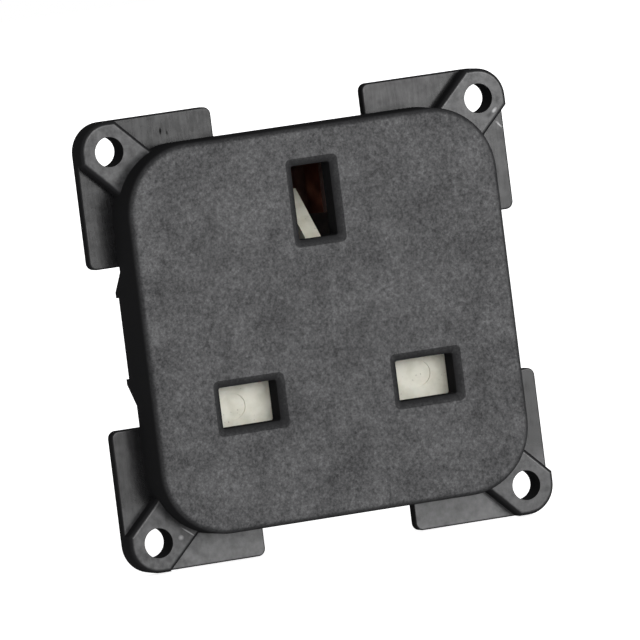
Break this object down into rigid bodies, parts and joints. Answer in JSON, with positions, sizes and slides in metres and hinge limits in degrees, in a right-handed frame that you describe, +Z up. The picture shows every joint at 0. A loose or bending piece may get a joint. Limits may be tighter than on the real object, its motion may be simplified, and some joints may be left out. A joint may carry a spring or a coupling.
{
  "type": "wall socket",
  "caption": "Flush wall socket module for rectangular plug pins, with a sprung safety shutter, drilled corner lugs and clamp terminals at the back.",
  "frame": {"origin": "centre of the four fixing holes, in the plane of the lugs' front faces", "axes": "-Y out of the face towards the plug, +Y into the wall, +X to the right as seen from the front, +Z up with the earth aperture on top"},
  "size_m": [0.0534, 0.0262, 0.0528],
  "materials": {
    "black_housing": "spark-eroded charcoal moulding",
    "rear_moulding": "plain black moulding",
    "white_shutter": "semi-gloss off-white moulding",
    "contact_alloy": "red copper alloy strip",
    "terminal_brass": "machined brass",
    "plated_steel": "zinc plated",
    "spring_steel": "drawn spring steel"
  },
  "bodies": {
    "module": {"front_housing": "black_housing", "rear_housing": "rear_moulding", "contact_cover": "rear_moulding", "shutter_spring": "spring_steel", "live_contact": "contact_alloy", "neutral_contact": "contact_alloy", "earth_contact": "contact_alloy", "live_grip_clip": "spring_steel", "neutral_grip_clip": "spring_steel", "earth_grip_clip": "spring_steel", "live_terminal_block": "terminal_brass", "neutral_terminal_block": "terminal_brass", "earth_terminal_block": "terminal_brass"},
    "shutter": {"shutter": "white_shutter"},
    "live_clamp": {"live_clamp_plate": "plated_steel"},
    "live_screw": {"live_terminal_screw": "plated_steel"},
    "neutral_clamp": {"neutral_clamp_plate": "plated_steel"},
    "neutral_screw": {"neutral_terminal_screw": "plated_steel"},
    "earth_clamp": {"earth_clamp_plate": "plated_steel"},
    "earth_screw": {"earth_terminal_screw": "plated_steel"}
  },
  "joints": [
    {"name": "shutter_slide", "type": "slide", "parent": "module", "child": "shutter", "axis": [0, 0, -1], "range_m": [0, 0.0052], "stiffness_N_per_m": 100, "springref_m": -0.002, "deforming": ["shutter_spring"]},
    {"name": "live_clamp_slide", "type": "slide", "parent": "module", "child": "live_clamp", "axis": [0, 1, 0], "range_m": [0, 0.003]},
    {"name": "live_screw_turn", "type": "hinge", "parent": "live_clamp", "child": "live_screw", "pos_m": [0.0111, 0.01045, -0.0156], "axis": [0, 1, 0], "range_deg": [0, 1800]},
    {"name": "neutral_clamp_slide", "type": "slide", "parent": "module", "child": "neutral_clamp", "axis": [0, 1, 0], "range_m": [0, 0.003]},
    {"name": "neutral_screw_turn", "type": "hinge", "parent": "neutral_clamp", "child": "neutral_screw", "pos_m": [-0.0111, 0.01045, -0.0156], "axis": [0, 1, 0], "range_deg": [0, 1800]},
    {"name": "earth_clamp_slide", "type": "slide", "parent": "module", "child": "earth_clamp", "axis": [0, 1, 0], "range_m": [0, 0.003]},
    {"name": "earth_screw_turn", "type": "hinge", "parent": "earth_clamp", "child": "earth_screw", "pos_m": [0, 0.01045, 0.0024], "axis": [0, 1, 0], "range_deg": [0, 1800]}
  ],
  "couplings": [
    {"joint": "live_screw_turn", "follows": "live_clamp_slide", "rad_per_m": 10472},
    {"joint": "neutral_screw_turn", "follows": "neutral_clamp_slide", "rad_per_m": 10472},
    {"joint": "earth_screw_turn", "follows": "earth_clamp_slide", "rad_per_m": 10472}
  ]
}
